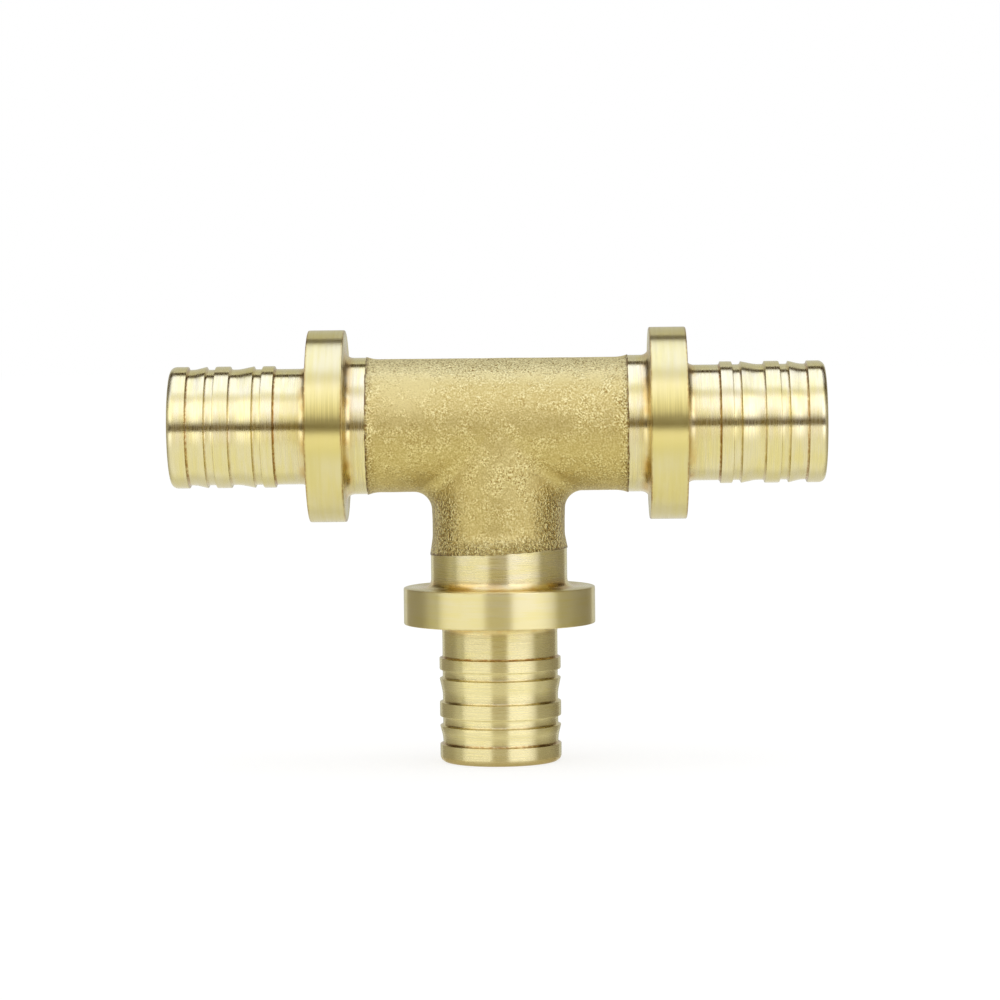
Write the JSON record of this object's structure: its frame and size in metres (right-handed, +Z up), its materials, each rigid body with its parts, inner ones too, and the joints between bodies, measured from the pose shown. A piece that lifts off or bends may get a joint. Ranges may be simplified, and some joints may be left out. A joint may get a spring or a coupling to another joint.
{
  "type": "pex sleeve tee",
  "caption": "Forged brass tee with barbed spigots and stop collars, for widened plastic pipe that a sliding sleeve clamps onto each spigot.",
  "frame": {"origin": "where the axes of the run and the branch cross", "axes": "+X along the run, -Z along the branch, +Z up; the tee stands on the mouth of its branch"},
  "size_m": [0.0966, 0.0284, 0.0641],
  "materials": {
    "brass": "pale brass, bright turned ends and a shot-blasted forged middle"
  },
  "bodies": {
    "root": {"tee_body": "brass"}
  },
  "joints": []
}
